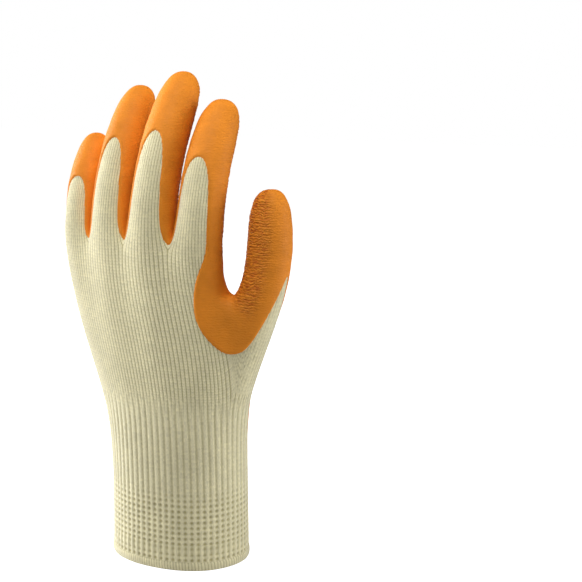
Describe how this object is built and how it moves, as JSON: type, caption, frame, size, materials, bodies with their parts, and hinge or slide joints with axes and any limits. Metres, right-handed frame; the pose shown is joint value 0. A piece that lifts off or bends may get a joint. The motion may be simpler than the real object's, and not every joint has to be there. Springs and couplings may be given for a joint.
{
  "type": "knitted work glove with latex grip coating",
  "caption": "Left-hand seamless knitted work glove in cream yarn with a ribbed cuff and an orange crinkled latex grip dipped over the palm, fingers and thumb.",
  "frame": {"origin": "middle of the cuff's mouth, where the wrist goes in", "axes": "+Z from the cuff to the fingertips, -Y out of the back of the hand, +X towards the thumb"},
  "size_m": [0.1288, 0.072, 0.2431],
  "materials": {
    "knit": "matte",
    "rib": "matte",
    "hem": "matte",
    "latex": "satin"
  },
  "bodies": {
    "root": {"cuff_hem": "hem", "rib_cuff": "rib", "knit_hand": "knit", "knit_thumb": "knit", "knit_index": "knit", "knit_middle": "knit", "knit_ring": "knit", "knit_little": "knit", "latex_coat": "latex"}
  },
  "joints": []
}
